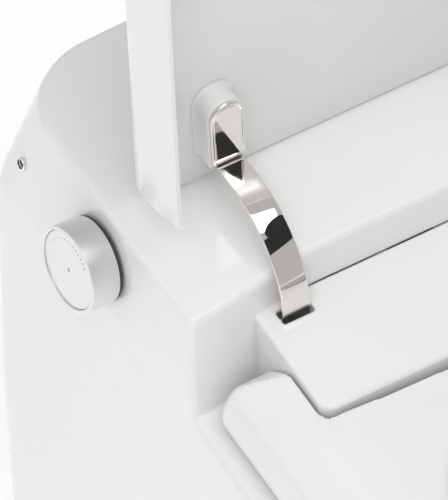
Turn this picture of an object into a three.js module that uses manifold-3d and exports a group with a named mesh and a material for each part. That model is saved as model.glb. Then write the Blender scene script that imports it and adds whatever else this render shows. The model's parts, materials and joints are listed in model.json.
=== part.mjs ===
// Floor-standing shower toilet with a raised rear deck, a lid on curved chrome arms, a lift-up
// seat, a control knob on the left flank and a spray wand under the hinge cover.
// Units are millimetres and +Z is up. The origin is on the floor, under the middle of the rear tie
// bar. The front of the toilet faces -Y and the wall is at y = WALL.
import * as THREE from "three";
import { mergeVertices } from "three/addons/utils/BufferGeometryUtils.js";
import Module from "manifold-3d";

const wasm = await Module();
wasm.setup();

// Overall sizes
const WALL = 20; // y of the face that stands against the wall
const DECK_DEPTH = 235; // wall to the step in front of the raised deck
const FRONT_LENGTH = 415; // step to the front of the rim
const STEP = WALL - DECK_DEPTH; // y of the step
const RIM_Z = 400;
const DECK_Z = 492; // height of the deck at its side edges
const CREASE_Z = 412; // where the leaning sides of the deck meet the lower flanks
const REAR_HALF = 197; // half width at the rear, at the crease
const STEP_HALF = 181; // half width at the step
const DECK_HALF = 180; // half width of the deck's top
const RIM_HALF = 183;
const SEAT_HALF = 171;
const STRAIGHT = 130; // how far the straight sides run in front of the step
const WALL_THICK = 14; // thickness of the ceramic
const GAP = 0.3; // between pieces that touch

// Axis that the lid turns on, and axis that the seat turns on
const LID_AXIS = { y: STEP + 57, z: DECK_Z - 28 };
const SEAT_AXIS = { y: STEP - 40, z: DECK_Z - 58 };
const LID_OPEN_DEG = 94;

// Hinge cover plate, its slots and the arms that pass through them
const COVER = { half: 130, rear: STEP + 8.8, front: STEP - 85, top: DECK_Z - 28, bottom: RIM_Z + 3.5 };
const ARM = { x: 105.5, width: 20, inner: 62, outer: 65 };
const PLAQUE = { width: 24, high: 118, face: 16, back: 18.2 };
const PANEL_FACE = 35; // height of the lid's inner panel over the lid axis, when closed

// Control knob on the left flank
const KNOB = { y: STEP + 104, z: DECK_Z - 41, lean: 8, yaw: 3, radius: 30, height: 23, off: 3 };

// Caps over the fixing screws, at the rear of both flanks
const CAP = { y: -17, z: DECK_Z - 45, lean: 12 };

// Spray wand: a tube that slides down and forward out of its cylinder
const WAND = { slope: 20, radius: 9, length: 140, tipY: STEP - 72, tipZ: RIM_Z - 4 };

const SIDES = [
  ["left", -1],
  ["right", 1],
];

const rad = THREE.MathUtils.degToRad;

// ---------------------------------------------------------------- solids

function solidOf(geometry) {
  const bare = geometry.clone();
  bare.deleteAttribute("normal");
  bare.deleteAttribute("uv");
  const merged = mergeVertices(bare, 1e-4);
  return new wasm.Manifold(
    new wasm.Mesh({
      numProp: 3,
      vertProperties: merged.attributes.position.array,
      triVerts: new Uint32Array(merged.index.array),
    }),
  );
}

function geometryOf(solid) {
  const mesh = solid.getMesh();
  const geometry = new THREE.BufferGeometry();
  geometry.setAttribute("position", new THREE.BufferAttribute(mesh.vertProperties, 3));
  geometry.setIndex(new THREE.BufferAttribute(mesh.triVerts, 1));
  return geometry;
}

// Stretch along X between two distances from the centre plane, on one side of it.
const span = (side, near, far) => (side > 0 ? [near, far] : [-far, -near]);

const join = (first, ...rest) => rest.reduce((sum, solid) => sum.add(solid), first);
const cut = (first, ...rest) => rest.reduce((left, solid) => left.subtract(solid), first);

// The largest body of a solid, with any sealed bubble inside it filled.
function outerBody(solid) {
  return solid.decompose().reduce((best, body) => (body.volume() > best.volume() ? body : best));
}

// Closed skin over rings of [x, y, z] points that run counter-clockwise seen from above.
function loft(rings) {
  const count = rings[0].length;
  const positions = rings.flat(2);
  const faces = [];
  for (let level = 0; level + 1 < rings.length; level += 1) {
    for (let i = 0; i < count; i += 1) {
      const a = level * count + i;
      const b = level * count + ((i + 1) % count);
      faces.push(a, b, b + count, a, b + count, a + count);
    }
  }
  [rings[0], rings.at(-1)].forEach((ring, end) => {
    const centre = positions.length / 3;
    const mean = (axis) => ring.reduce((sum, point) => sum + point[axis], 0) / count;
    positions.push(mean(0), mean(1), mean(2));
    const base = end === 0 ? 0 : (rings.length - 1) * count;
    for (let i = 0; i < count; i += 1) {
      const here = base + i;
      const next = base + ((i + 1) % count);
      faces.push(centre, ...(end === 0 ? [next, here] : [here, next]));
    }
  });
  const geometry = new THREE.BufferGeometry();
  geometry.setAttribute("position", new THREE.Float32BufferAttribute(positions, 3));
  geometry.setIndex(faces);
  return solidOf(geometry);
}

function box(x, y, z) {
  const size = [x, y, z].map(([low, high]) => high - low);
  const centre = [x, y, z].map(([low, high]) => (low + high) / 2);
  return solidOf(new THREE.BoxGeometry(...size).translate(...centre));
}

function cylinder(from, to, radius, sides = 20) {
  const start = new THREE.Vector3(...from);
  const along = new THREE.Vector3(...to).sub(start);
  const geometry = new THREE.CylinderGeometry(radius, radius, along.length(), sides);
  const turn = new THREE.Quaternion().setFromUnitVectors(
    new THREE.Vector3(0, 1, 0),
    along.clone().normalize(),
  );
  geometry.applyQuaternion(turn);
  const middle = start.addScaledVector(along, 0.5);
  return solidOf(geometry.translate(middle.x, middle.y, middle.z));
}

const barrel = (x, y, z, radius, sides) => cylinder([x[0], y, z], [x[1], y, z], radius, sides);

function extrude(shape, depth) {
  return new THREE.ExtrudeGeometry(shape, { depth, bevelEnabled: false, curveSegments: 8 });
}

// Outline in the (y, z) plane, carried along X.
function extrudeX(shape, x) {
  const turn = new THREE.Matrix4().makeBasis(
    new THREE.Vector3(0, 1, 0),
    new THREE.Vector3(0, 0, 1),
    new THREE.Vector3(1, 0, 0),
  );
  return solidOf(extrude(shape, x[1] - x[0]).applyMatrix4(turn).translate(x[0], 0, 0));
}

// Outline in the (x, y) plane, carried up Z.
function extrudeZ(shape, z) {
  return solidOf(extrude(shape, z[1] - z[0]).translate(0, 0, z[0]));
}

function roundedRectangle(x, y, radius) {
  const shape = new THREE.Shape();
  shape.moveTo(x[0] + radius, y[0]);
  shape.absarc(x[1] - radius, y[0] + radius, radius, rad(-90), 0);
  shape.absarc(x[1] - radius, y[1] - radius, radius, 0, rad(90));
  shape.absarc(x[0] + radius, y[1] - radius, radius, rad(90), rad(180));
  shape.absarc(x[0] + radius, y[0] + radius, radius, rad(180), rad(270));
  return shape;
}

function tube(points, radius, sides, steps) {
  const section = new THREE.Shape();
  for (let i = 0; i < sides; i += 1) {
    const turn = (2 * Math.PI * i) / sides;
    section[i ? "lineTo" : "moveTo"](radius * Math.cos(turn), radius * Math.sin(turn));
  }
  const path = new THREE.CatmullRomCurve3(points.map((point) => new THREE.Vector3(...point)));
  return solidOf(new THREE.ExtrudeGeometry(section, { extrudePath: path, steps, bevelEnabled: false }));
}

// Ring with square edges about an axis along X, Y or Z.
const washer = (from, to, outer, inner, sides) => {
  const along = new THREE.Vector3(...to).sub(new THREE.Vector3(...from)).normalize();
  const past = (point, by) => new THREE.Vector3(...point).addScaledVector(along, by).toArray();
  return cut(cylinder(from, to, outer, sides), cylinder(past(from, -1), past(to, 1), inner, sides));
};

// ---------------------------------------------------------------- outlines seen from above

// A left half from the wall side to the front centre becomes a whole ring at height z.
function ringOf(leftHalf, z) {
  const height = typeof z === "function" ? z : () => z;
  const right = leftHalf
    .slice(1, -1)
    .reverse()
    .map(([x, y]) => [-x, y]);
  return [...leftHalf, ...right].map(([x, y]) => [x, y, height(x, y)]);
}

function rearCorner(half, rear, radius, steps = 4) {
  const points = [];
  for (let i = 0; i <= steps; i += 1) {
    const turn = rad(90 + (90 * i) / steps);
    points.push([radius - half + radius * Math.cos(turn), rear - radius + radius * Math.sin(turn)]);
  }
  return points;
}

// Left half of the rounded front: a superellipse that starts square to the side.
function frontCurve(half, start, length, steps = 11) {
  const power = 2 / 2.3;
  const points = [];
  for (let i = 0; i <= steps; i += 1) {
    const turn = (Math.PI / 2) * (i / steps);
    const across = i === steps ? 0 : Math.cos(turn) ** power;
    points.push([-half * across, start - length * Math.sin(turn) ** power]);
  }
  return points;
}

const blend = (low, high, t) => low + (high - low) * THREE.MathUtils.clamp(t, 0, 1);

// The flanks draw in towards the floor.
const drawIn = (z) => 11.4 * (Math.max(0, RIM_Z - z) / RIM_Z) ** 2.25;
const rearHalfAt = (z) => {
  const lean = (DECK_Z - z) / (DECK_Z - CREASE_Z);
  return z > CREASE_Z ? blend(DECK_HALF, REAR_HALF, lean) : REAR_HALF - drawIn(z);
};
const stepHalfAt = (z) => STEP_HALF - drawIn(z);
const flankHalfAt = (y, z) => {
  const cornerStart = WALL - cornerRadiusAt(z);
  return blend(DECK_HALF + 1, rearHalfAt(z), (y - STEP) / (cornerStart - STEP));
};
const cornerRadiusAt = (z) => blend(24, 27, z / RIM_Z) + blend(0, 31, (z - RIM_Z) / (DECK_Z - RIM_Z));
const toeSetBack = (z) => 95 * (Math.max(0, RIM_Z - 20 - z) / RIM_Z) ** 1.2;

// Where the knob's base plane meets its axis, how the knob is turned, and a point along its axis.
const knobSpot = new THREE.Vector3(-flankHalfAt(KNOB.y, KNOB.z) - KNOB.off, KNOB.y, KNOB.z);
const knobTurn = new THREE.Euler(0, -rad(90 - KNOB.lean), rad(KNOB.yaw), "ZYX");
const alongKnob = (out) => new THREE.Vector3(0, 0, out).applyEuler(knobTurn).add(knobSpot).toArray();

function bodyHalf(z, inset = 0) {
  const rearHalf = rearHalfAt(z) - inset;
  const front = STEP - STRAIGHT;
  return [
    [0, WALL - inset],
    ...rearCorner(rearHalf, WALL - inset, cornerRadiusAt(z) - inset / 2),
    [-stepHalfAt(z) + inset, STEP],
    ...frontCurve(
      RIM_HALF - drawIn(z) - inset,
      front,
      FRONT_LENGTH - STRAIGHT - toeSetBack(z) - inset,
    ),
  ];
}

// The deck's front edge sets back towards the middle, so that the arms pass in front of it.
const stepSetBack = (x) => 11 * THREE.MathUtils.smoothstep(DECK_HALF - Math.abs(x), 0, 100);
const deckCrown = (x) => 4 * (1 - (x / DECK_HALF) ** 2);

function deckHalf(z, inset = 0) {
  const rearHalf = Math.min(rearHalfAt(z), REAR_HALF) - inset;
  const bulge = 1.5 * Math.sin(Math.PI * THREE.MathUtils.clamp((DECK_Z - z) / 92, 0, 1));
  const stepHalf = DECK_HALF + bulge - inset;
  const draft = (6 * THREE.MathUtils.clamp(DECK_Z - z, 0, 92)) / 92;
  const front = [0, 3, 20, 40, 60, 80, 105, 140, DECK_HALF].map((step) => {
    const x = step === DECK_HALF ? 0 : Math.min(step - stepHalf, 0);
    const corner = step === 0 ? 3 : 0;
    return [x, STEP + stepSetBack(x) - draft + inset + corner];
  });
  return [
    [0, WALL - inset],
    ...rearCorner(rearHalf, WALL - inset, cornerRadiusAt(z) - inset / 2),
    ...front,
  ];
}

// ---------------------------------------------------------------- ceramic

// Bowl levels: [height, half width, half length, centre in front of the step]
const BOWL = [
  [RIM_Z + 1, 125, 136, 237],
  [378, 122, 133, 236],
  [340, 112, 124, 232],
  [290, 92, 103, 222],
  [250, 66, 78, 210],
  [215, 46, 54, 200],
  [195, 30, 34, 195],
];

function ellipseRing(halfWidth, halfLength, centreY, z, steps = 24) {
  return Array.from({ length: steps }, (_, i) => {
    const turn = (2 * Math.PI * i) / steps;
    return [halfWidth * Math.cos(turn), centreY + halfLength * Math.sin(turn), z];
  });
}

function bowl(grow, drop) {
  const levels = [...BOWL].reverse();
  return loft(
    levels.map(([z, half, length, forward]) =>
      ellipseRing(half + grow, length + grow, STEP - forward, z > RIM_Z ? z : z - drop),
    ),
  );
}

const TRAP = [
  [0, STEP - 195, 205],
  [0, STEP - 165, 158],
  [0, STEP - 120, 140],
  [0, STEP - 72, 175],
  [0, STEP - 40, 228],
  [0, STEP + 10, 232],
  [0, STEP + 55, 195],
  [0, STEP + 110, 180],
  [0, WALL - 40, 180],
];

function ceramicBody() {
  const outerLevels = [0, 60, 130, 210, 290, 350, 388];
  const rim = [
    ringOf(bodyHalf(396, 2.5), 396),
    ringOf(bodyHalf(RIM_Z, 8), RIM_Z),
  ];
  const lower = loft([...outerLevels.map((z) => ringOf(bodyHalf(z), z)), ...rim]);
  const deck = loft([
    ...[372, CREASE_Z, 440, 468, 487].map((z) => ringOf(deckHalf(z), z)),
    ringOf(deckHalf(491, 1.2), (x) => 491 + deckCrown(x)),
    ringOf(deckHalf(DECK_Z, 4), (x) => DECK_Z + deckCrown(x)),
  ]);
  const lowerHollow = loft(
    [-1, 130, 290, 384].map((z) => ringOf(bodyHalf(Math.max(z, 0), WALL_THICK), z)),
  );
  const deckHollow = loft(
    [366, CREASE_Z, 440, 478].map((z) => ringOf(deckHalf(z, WALL_THICK), z)),
  );
  const flushPipe = [
    [0, STEP - 110, 300],
    [0, STEP + 40, 300],
    [0, WALL - 30, 300],
  ];
  const pipes = [
    tube([...TRAP, [0, WALL, 180]], 40, 12, 15),
    tube(flushPipe, 27, 12, 2),
  ];
  const bores = [
    tube([...TRAP, [0, WALL + 2, 180]], 27, 10, 15),
    tube([[0, STEP - 150, 300], ...flushPipe.slice(1), [0, WALL, 300]], 18, 10, 3),
  ];
  const hollow = cut(join(lowerHollow, deckHollow), bowl(13, 13), ...pipes);
  const wallOpenings = [
    box([-140, 140], [WALL - 20, WALL + 1], [232, 445]), // for the water, the power and the flush
    box([-60, 60], [WALL - 20, WALL + 1], [60, 233]), // round the outlet
  ];
  const shell = cut(join(lower, deck), hollow, ...wallOpenings);
  const tieBar = box([-150, 150], [-WALL, WALL], [0, 40]);
  const openings = [
    bowl(0, 0),
    ...bores,
    box([-131.5, 131.5], [STEP - 8, STEP + 9.3], [RIM_Z, 466]), // bay for the hinge cover
    box([-124, 124], [STEP, STEP + 40], [RIM_Z + 4, 464]), // window for the arms and the wand
    wandBox(22, 15, -80, 130), // channel that the wand runs down into the bowl
    cylinder(alongKnob(10), alongKnob(-50), 9, 12),
    ...SIDES.map(([, side]) => cylinder([side * 200, CAP.y, CAP.z], [side * 160, CAP.y, CAP.z], 5, 10)),
  ];
  return outerBody(cut(join(shell, tieBar, pipes[0]), ...openings));
}

// ---------------------------------------------------------------- spray wand

const slope = rad(WAND.slope);
const downWand = (along) => [
  0,
  WAND.tipY - along * Math.cos(slope),
  WAND.tipZ - along * Math.sin(slope),
];

// Box of a half width and a half height round the wand's axis, from one distance to another.
function wandBox(halfWidth, halfHeight, from, to) {
  const geometry = new THREE.BoxGeometry(2 * halfWidth, to - from, 2 * halfHeight);
  geometry.rotateX(slope);
  const middle = downWand((from + to) / 2);
  return solidOf(geometry.translate(...middle));
}

const wandTube = () =>
  cut(
    cylinder(downWand(-WAND.length), downWand(-12), WAND.radius),
    cylinder(downWand(-WAND.length - 1), downWand(-20), WAND.radius - 2),
  );

function wandNozzle() {
  const head = cylinder(downWand(-12 + GAP), downWand(0), WAND.radius);
  const holes = [-9, -6, -3].map((along) => {
    const [x, y, z] = downWand(along);
    return cylinder([x, y, z + 4], [x, y, z + 12], 0.9, 8);
  });
  return cut(head, ...holes);
}

const wandCap = () => wandBox(13, 10, GAP, 3.5);

function wandCylinder() {
  const inner = WAND.radius + 0.6;
  return cut(
    wandBox(13, 13, -WAND.length - 8, -14),
    cylinder(downWand(-WAND.length - 4), downWand(0), inner),
  );
}

// ---------------------------------------------------------------- hinge cover

function hingeCover() {
  const { half, rear, front, top, bottom } = COVER;
  const level = (z, inset) => {
    const halfWidth = half - inset;
    return ringOf(
      [
        [0, rear - inset],
        ...rearCorner(halfWidth, rear - inset, 4, 3),
        ...frontCorner(halfWidth, front + inset, 10, 4),
        [0, front + inset],
      ],
      z,
    );
  };
  const outer = loft([level(bottom, 0), level(top - 3.5, 0), level(top - 1, 1), level(top, 3.5)]);
  const inner = loft([level(bottom - 1, 3), level(top - 3.5, 3)]);
  const slots = SIDES.map(([, side]) => {
    const x = side * ARM.x;
    const outline = roundedRectangle([x - 11.75, x + 11.75], [STEP - 11.5, STEP + 0.5], 2.5);
    return extrudeZ(outline, [top - 10, top + 1]);
  });
  const pinHoles = SIDES.map(([, side]) =>
    barrel(span(side, half - 5, half + 1), SEAT_AXIS.y, SEAT_AXIS.z, 6, 12),
  );
  const window = box([-half + 8, half - 8], [rear - 5, rear + 1], [bottom - 1, top - 4]);
  const wandExit = box([-24, 24], [front - 1, front + 5], [bottom - 1, bottom + 16]);
  return cut(outer, inner, ...slots, ...pinHoles, window, wandExit);
}

function frontCorner(half, front, radius, steps) {
  return Array.from({ length: steps + 1 }, (_, i) => {
    const turn = rad(180 + (90 * i) / steps);
    return [radius - half + radius * Math.cos(turn), front + radius + radius * Math.sin(turn)];
  });
}

// ---------------------------------------------------------------- seat

function seatHalf(inset, rearForward) {
  const side = Math.max(STRAIGHT + 20, rearForward + 18);
  return [
    [0, STEP - rearForward],
    ...rearCorner(SEAT_HALF - inset, STEP - rearForward, 16, 4),
    ...frontCurve(SEAT_HALF - inset, STEP - side, FRONT_LENGTH - 14 - side - inset),
  ];
}

// Seat levels: [height, how far the side draws in, rear edge in front of the step]
const SEAT = [
  [407.3, 4, 26],
  [413, 1.5, 19],
  [424, 0, 14],
  [434, 2, 17],
  [441, 10, 23],
  [447, 20, 31],
  [453, 30, 38],
  [458.5, 41, 47],
  [460, 60, 64],
];

const seatHole = (grow, from, to) =>
  loft([
    ellipseRing(103 + grow, 117 + grow, STEP - 235, from),
    ellipseRing(103 + grow, 117 + grow, STEP - 235, 442),
    ellipseRing(107 + grow, 121 + grow, STEP - 235, 452),
    ellipseRing(118 + grow, 132 + grow, STEP - 235, to),
  ]);

// Room for the hinge cover, round enough at the front for the seat to swing up past it.
function coverRoom(grow) {
  const half = 132 + grow;
  return join(
    box([-half, half], [STEP - 87.5 - grow, STEP + 10], [395, 470]),
    barrel([-half, half], SEAT_AXIS.y, SEAT_AXIS.z, 53.3 + grow, 40),
  );
}

function seatRing() {
  const outer = loft(SEAT.map(([z, inset, rear]) => ringOf(seatHalf(inset, rear), z)));
  const inner = loft(
    [SEAT[0], SEAT[2], SEAT[3], SEAT[5]].map(([z, inset, rear], i) =>
      ringOf(seatHalf(inset + 6, rear + 7), i === 0 ? z - 1 : z),
    ),
  );
  const ears = SIDES.map(([, side]) =>
    barrel(span(side, 131, 158), SEAT_AXIS.y, SEAT_AXIS.z, 10.5, 16),
  );
  const bores = SIDES.map(([, side]) =>
    barrel(span(side, 130, 152), SEAT_AXIS.y, SEAT_AXIS.z, 5.3, 16),
  );
  const hollow = cut(inner, seatHole(6, 400, 464), coverRoom(6), ...ears);
  return cut(outer, hollow, seatHole(0, 400, 461), coverRoom(0), ...bores);
}

function seatBase() {
  const plate = loft([
    ringOf(seatHalf(7, 34), 403),
    ringOf(seatHalf(4.5, 29), 407),
  ]);
  return cut(plate, seatHole(0.5, 400, 461), coverRoom(0));
}

const seatBuffer = (side, forward) => {
  const x = side * (forward < 200 ? 155 : 128);
  return cylinder([x, STEP - forward, RIM_Z + GAP], [x, STEP - forward, 402.7], 8, 16);
};

function seatHingeBlock(side) {
  const x = span(side, 108, 125);
  const block = box(x, [SEAT_AXIS.y - 18, SEAT_AXIS.y + 18], [RIM_Z + GAP, SEAT_AXIS.z + 14]);
  return cut(block, barrel([x[0] - 1, x[1] + 1], SEAT_AXIS.y, SEAT_AXIS.z, 5.3));
}

const seatHingePin = (side) => barrel(span(side, 106, 150), SEAT_AXIS.y, SEAT_AXIS.z, 5, 16);

// ---------------------------------------------------------------- lid, drawn closed about its axis

// The side walls end at the rear size. The panel and the top plate run on over the deck as a flap.
const LID = {
  half: 168,
  rear: 61,
  straight: 190,
  length: 389,
  rim: -16.5,
  top: 42,
  flap: { half: 150, rear: 37 },
};

function lidHalf(inset, rearInset = inset) {
  return [
    [0, -LID.rear - rearInset],
    ...rearCorner(LID.half - inset, -LID.rear - rearInset, 4, 3),
    ...frontCurve(LID.half - inset, -LID.rear - LID.straight, LID.length - LID.straight - inset),
  ];
}

const lidFlap = (overlap, low, high) =>
  box([-LID.flap.half, LID.flap.half], [-LID.rear - overlap, -LID.flap.rear], [low, high]);

function lidShell() {
  const outer = loft([
    ringOf(lidHalf(6, 0), LID.rim),
    ringOf(lidHalf(2.4, 0), 0),
    ringOf(lidHalf(0, 0), 18),
    ringOf(lidHalf(1, 0), 28),
    ringOf(lidHalf(5, 3), 36),
    ringOf(lidHalf(13, 8), 40.5),
    ringOf(lidHalf(40, 30), LID.top),
  ]);
  const inner = loft([
    ringOf(lidHalf(9.4, -20), LID.rim - 1),
    ringOf(lidHalf(6, -20), 0),
    ringOf(lidHalf(4, -20), 18),
    ringOf(lidHalf(5, -20), 29),
    ringOf(lidHalf(12, -20), 38.5),
  ]);
  return cut(join(outer, lidFlap(30, 38.5, LID.top - 0.6)), inner);
}

function lidPanel() {
  const panel = loft([
    ringOf(lidHalf(10.4, 0.5), PANEL_FACE),
    ringOf(lidHalf(12.2, 0.5), 38.1),
  ]);
  return join(panel, lidFlap(8, PANEL_FACE, 38.1));
}

// Arch seen from the lid's inner side: square at the hinge end, round at the other.
function archShape(side, halfWidth, low, high) {
  const x = side * ARM.x;
  const shape = new THREE.Shape();
  shape.moveTo(x + halfWidth, -low);
  shape.lineTo(x - halfWidth, -low);
  shape.lineTo(x - halfWidth, -high + halfWidth);
  shape.absarc(x, -high + halfWidth, halfWidth, rad(180), rad(360));
  return shape;
}

const hingeBoss = (side) =>
  extrudeZ(archShape(side, PLAQUE.width / 2 + 1.2, LID.rear, PLAQUE.high + 1.2), [
    PLAQUE.back + GAP,
    PANEL_FACE - GAP,
  ]);

const hingePlaque = (side) =>
  extrudeZ(archShape(side, PLAQUE.width / 2, ARM.outer + GAP, PLAQUE.high), [PLAQUE.face, PLAQUE.back]);

// Arm: a straight lead from the boss, an arc about the lid axis, a spoke and a hub.
function hingeArm(side) {
  const startTurn = 90 - LID_OPEN_DEG;
  const endTurn = startTurn - 115;
  const shape = new THREE.Shape();
  const at = (radius, turn) => [-radius * Math.cos(rad(turn)), radius * Math.sin(rad(turn))];
  const steps = 18;
  shape.moveTo(-ARM.inner, PLAQUE.back);
  for (let i = 0; i <= steps; i += 1) {
    shape.lineTo(...at(ARM.inner, blend(startTurn, endTurn, i / steps)));
  }
  for (let i = steps; i >= 0; i -= 1) {
    shape.lineTo(...at(ARM.outer, blend(startTurn, endTurn, i / steps)));
  }
  shape.lineTo(-ARM.outer, PLAQUE.back);
  const x = [side * ARM.x - ARM.width / 2, side * ARM.x + ARM.width / 2];
  const spoke = new THREE.Shape();
  [[6, 20], [ARM.inner + 1, 1.2], [ARM.inner + 1, 8], [8, 70]].forEach(([radius, past], i) => {
    spoke[i ? "lineTo" : "moveTo"](...at(radius, endTurn + past));
  });
  const band = extrudeX(shape, x);
  const hub = barrel(x, 0, 0, 10);
  return cut(join(band, extrudeX(spoke, x), hub), barrel([x[0] - 1, x[1] + 1], 0, 0, 5.3));
}

const lidBuffer = (side) =>
  cylinder([side * 143.5, -330, LID.rim + 9], [side * 143.5, -330, LID.rim - 1.5], 4.5, 12);

function lidHingeBracket(side) {
  const { y, z } = LID_AXIS;
  const plates = [86, 120].map((near) =>
    box(span(side, near, near + 5), [y - 14, y + 76], [z - 14, z + 11]),
  );
  const x = span(side, 86, 125);
  const back = box(x, [y + 71, y + 76], [TRAY_TOP + GAP, z + 11]);
  const bore = barrel([x[0] - 1, x[1] + 1], y, z, 5.3);
  return cut(join(...plates, back), bore);
}

const lidAxle = (side) => barrel(span(side, 84, 128), LID_AXIS.y, LID_AXIS.z, 5, 16);

const lidDamper = (side) => barrel(span(side, 48, 83.7), LID_AXIS.y, LID_AXIS.z, 10, 16);

// ---------------------------------------------------------------- knob, drawn about its own axis

// The knob's axis is local +Z and its base plane is z = 0.
const knobDisc = (radius, z, sides = 32) => cylinder([0, 0, z[0]], [0, 0, z[1]], radius, sides);

const knobBase = () =>
  cut(
    join(knobDisc(29.7, [0, 1.6], 32), knobDisc(7.4, [-22, 1], 12)),
    knobDisc(3.3, [-23, 2], 12),
  );

const knobRing = () =>
  cut(knobDisc(KNOB.radius, [2, KNOB.height]), knobDisc(KNOB.radius - 2.5, [8, 30]), knobDisc(9, [1, 9], 20));

const knobFace = () =>
  join(knobDisc(KNOB.radius - 2.8, [KNOB.height - 4, KNOB.height - 1]), knobDisc(8.5, [10, 22], 20));

const knobPlunger = () => knobDisc(3, [-21, 9.7], 12);

const knobEncoder = () => cut(box([-16, 16], [-16, 16], [-36, -22.5]), knobDisc(4, [-30, -20], 12));

// ---------------------------------------------------------------- technical unit under the deck

const TRAY_TOP = 343;

function technicTray() {
  const plate = box([-150, 150], [-92, -4], [TRAY_TOP - 3, TRAY_TOP]);
  const lip = [-150, 147].map((x) => box([x, x + 3], [-92, -4], [TRAY_TOP - 1, TRAY_TOP + 9]));
  return join(plate, ...lip);
}

const heaterTank = () => cylinder([-140, -42, 373], [-44, -42, 373], 28, 20);
const waterPump = () =>
  join(cylinder([-30, -50, 366], [14, -50, 366], 20, 20), cylinder([14, -50, 366], [30, -50, 366], 14, 16));
const powerSupply = () => box([42, 142], [-74, -12], [TRAY_TOP + GAP, 378]);
const controlBoard = () => box([46, 138], [-70, -16], [386, 388]);
const boardCover = () =>
  cut(box([42, 142], [-74, -12], [378.3, 404]), box([44, 140], [-72, -14], [378, 402]));
const inletValve = () =>
  join(box([-120, -80], [-34, -6], [300, 326]), cylinder([-100, -20, 325], [-100, -20, 339.7], 10, 16));
const inletStub = () => washer([-100, -5.7, 313], [-100, 16, 313], 10.5, 6, 20);
const powerInlet = () => join(box([84, 124], [-6, 4], [300, 328]), box([88, 120], [3, 12], [303, 325]));
const outletSleeve = () => washer([0, WALL - 24, 180], [0, WALL - 1, 180], 50, 40.4, 28);
const flushSeal = () => washer([0, WALL - 29, 300], [0, WALL - 8, 300], 30, 18.5, 28);

function floorBracket(side) {
  const foot = box(span(side, 112, 142), [-130, -70], [0, 4]);
  return join(foot, box(span(side, 138, 142), [-130, -70], [3, 46]));
}

function floorScrew(side) {
  const x = side * 125;
  return cylinder([x, -100, 4.3], [x, -100, 10], 7, 6);
}

// ---------------------------------------------------------------- materials

const finish = (color, roughness, metalness = 0) => ({ color, roughness, metalness });
const FINISHES = {
  ceramic: finish(0xf2f3f2, 0.12),
  lacquer: finish(0xf0f1f1, 0.2),
  chrome: finish(0xd8d4cf, 0.06, 1),
  aluminium: finish(0xb9bbbb, 0.38, 1),
  face: finish(0xeeefef, 0.3),
  steel: finish(0x9a9c9e, 0.35, 1),
  rubber: finish(0x2b2b2c, 0.8),
  buffer: finish(0xd9dad8, 0.6),
  dark: finish(0x2f3133, 0.55),
  grey: finish(0x8d9092, 0.5),
  board: finish(0x1f5a3a, 0.5),
  brass: finish(0xb59a58, 0.3, 1),
};

function add(parent, name, solid, finishName) {
  const mesh = new THREE.Mesh(geometryOf(solid), new THREE.MeshStandardMaterial(FINISHES[finishName]));
  mesh.name = name;
  parent.add(mesh);
  return mesh;
}

// ---------------------------------------------------------------- assembly

const toilet = new THREE.Group();
const technics = new THREE.Group();
const lid = new THREE.Group();
lid.position.set(0, LID_AXIS.y, LID_AXIS.z);
lid.rotation.x = -rad(LID_OPEN_DEG);
const seat = new THREE.Group();
const knob = new THREE.Group();
knob.position.copy(knobSpot);
knob.rotation.copy(knobTurn);
const wand = new THREE.Group();
toilet.add(technics, lid, seat, knob, wand);

add(toilet, "ceramic_body", ceramicBody(), "ceramic");
add(toilet, "hinge_cover", hingeCover(), "lacquer");

add(technics, "technic_tray", technicTray(), "grey");
add(technics, "heater_tank", heaterTank(), "steel");
add(technics, "water_pump", waterPump(), "dark");
add(technics, "power_supply", powerSupply(), "dark");
add(technics, "control_board", controlBoard(), "board");
add(technics, "board_cover", boardCover(), "grey");
add(technics, "inlet_valve", inletValve(), "dark");
add(technics, "inlet_stub", inletStub(), "brass");
add(technics, "power_inlet", powerInlet(), "dark");
add(technics, "outlet_sleeve", outletSleeve(), "rubber");
add(technics, "flush_seal", flushSeal(), "rubber");

add(wand, "wand_cylinder", wandCylinder(), "grey");
add(wand, "wand_tube", wandTube(), "lacquer");
add(wand, "wand_nozzle", wandNozzle(), "steel");
add(wand, "wand_cap", wandCap(), "lacquer");

add(seat, "seat_ring", seatRing(), "lacquer");
add(seat, "seat_base", seatBase(), "lacquer");

add(lid, "lid_shell", lidShell(), "lacquer");
add(lid, "lid_inner_panel", lidPanel(), "lacquer");

add(knob, "knob_base", knobBase(), "dark");
add(knob, "knob_ring", knobRing(), "aluminium");
add(knob, "knob_face", knobFace(), "face");
add(knob, "knob_plunger", knobPlunger(), "steel");
add(knob, "knob_encoder", knobEncoder(), "dark");

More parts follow.
